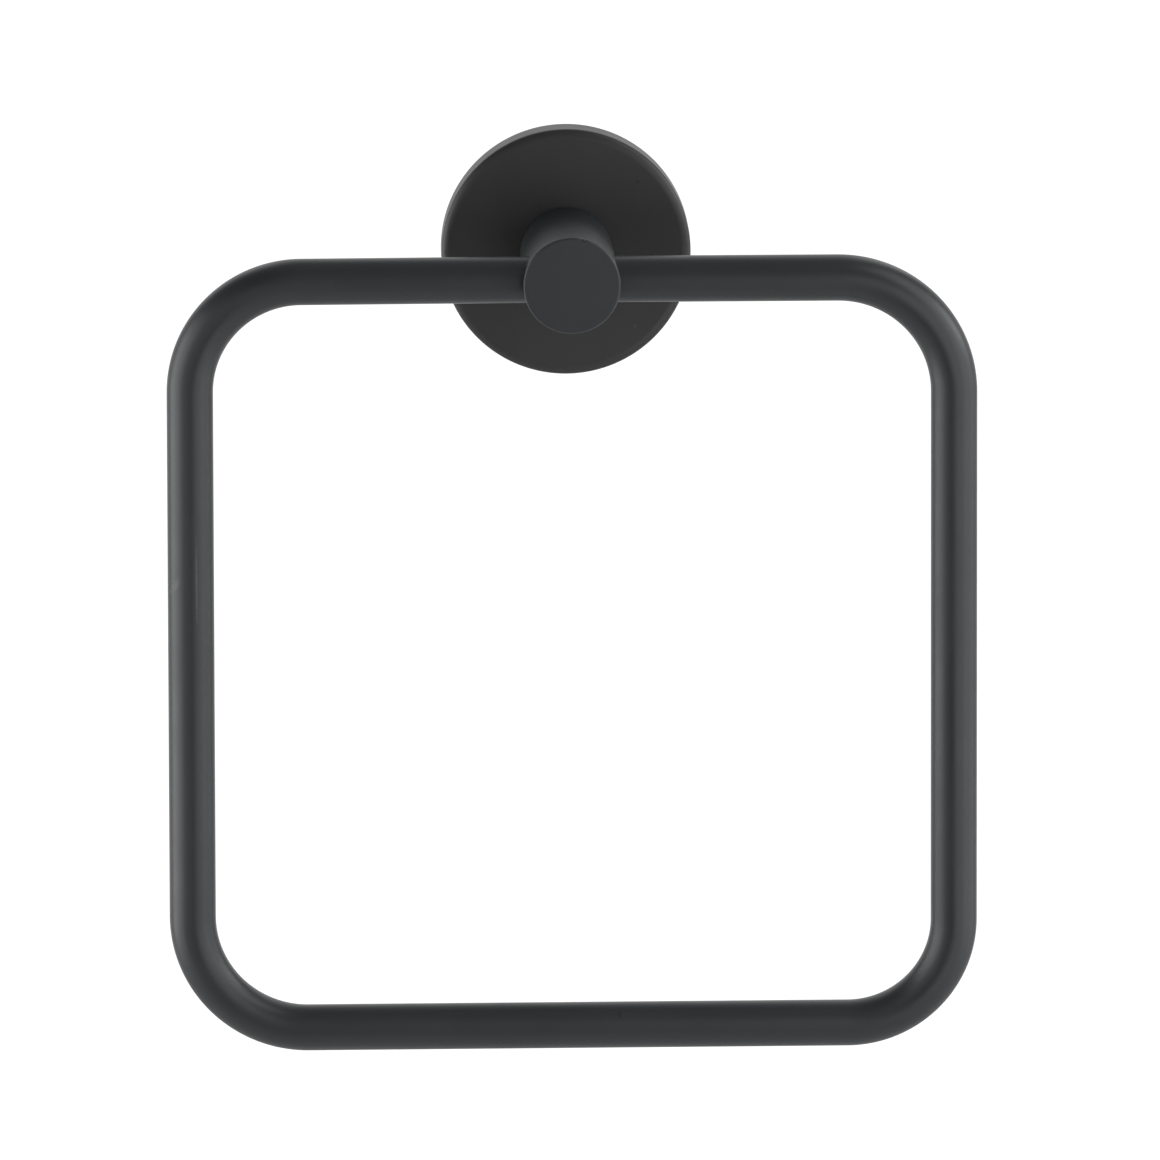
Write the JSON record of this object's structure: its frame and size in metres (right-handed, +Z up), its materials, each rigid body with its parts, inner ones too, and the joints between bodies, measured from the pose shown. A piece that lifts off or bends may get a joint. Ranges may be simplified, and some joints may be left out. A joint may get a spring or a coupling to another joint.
{
  "type": "towel ring",
  "caption": "Wall-mounted towel ring: a square ring of round bar with rounded corners swings in a round post on a thin round rosette.",
  "frame": {"origin": "centre of the rosette's back, on the wall", "axes": "+Y goes into the wall, so the post and ring stand out towards -Y; +Z is up; +X is to the right as seen from the front"},
  "size_m": [0.175, 0.045, 0.197],
  "materials": {
    "black_coat": "fine matt black powder coat",
    "zinc_plated_steel": "dull zinc plate",
    "plain_steel": "plain machined steel"
  },
  "bodies": {
    "wall_mount": {"rosette": "black_coat", "post": "black_coat", "wall_bracket": "zinc_plated_steel", "post_screw": "plain_steel", "post_washer": "plain_steel", "grub_screw": "plain_steel"},
    "swing_ring": {"ring": "black_coat"}
  },
  "joints": [
    {"name": "ring_swing", "type": "hinge", "parent": "wall_mount", "child": "swing_ring", "pos_m": [0, -0.0373, 0], "axis": [-1, 0, 0], "range_deg": [-11, 191]}
  ]
}
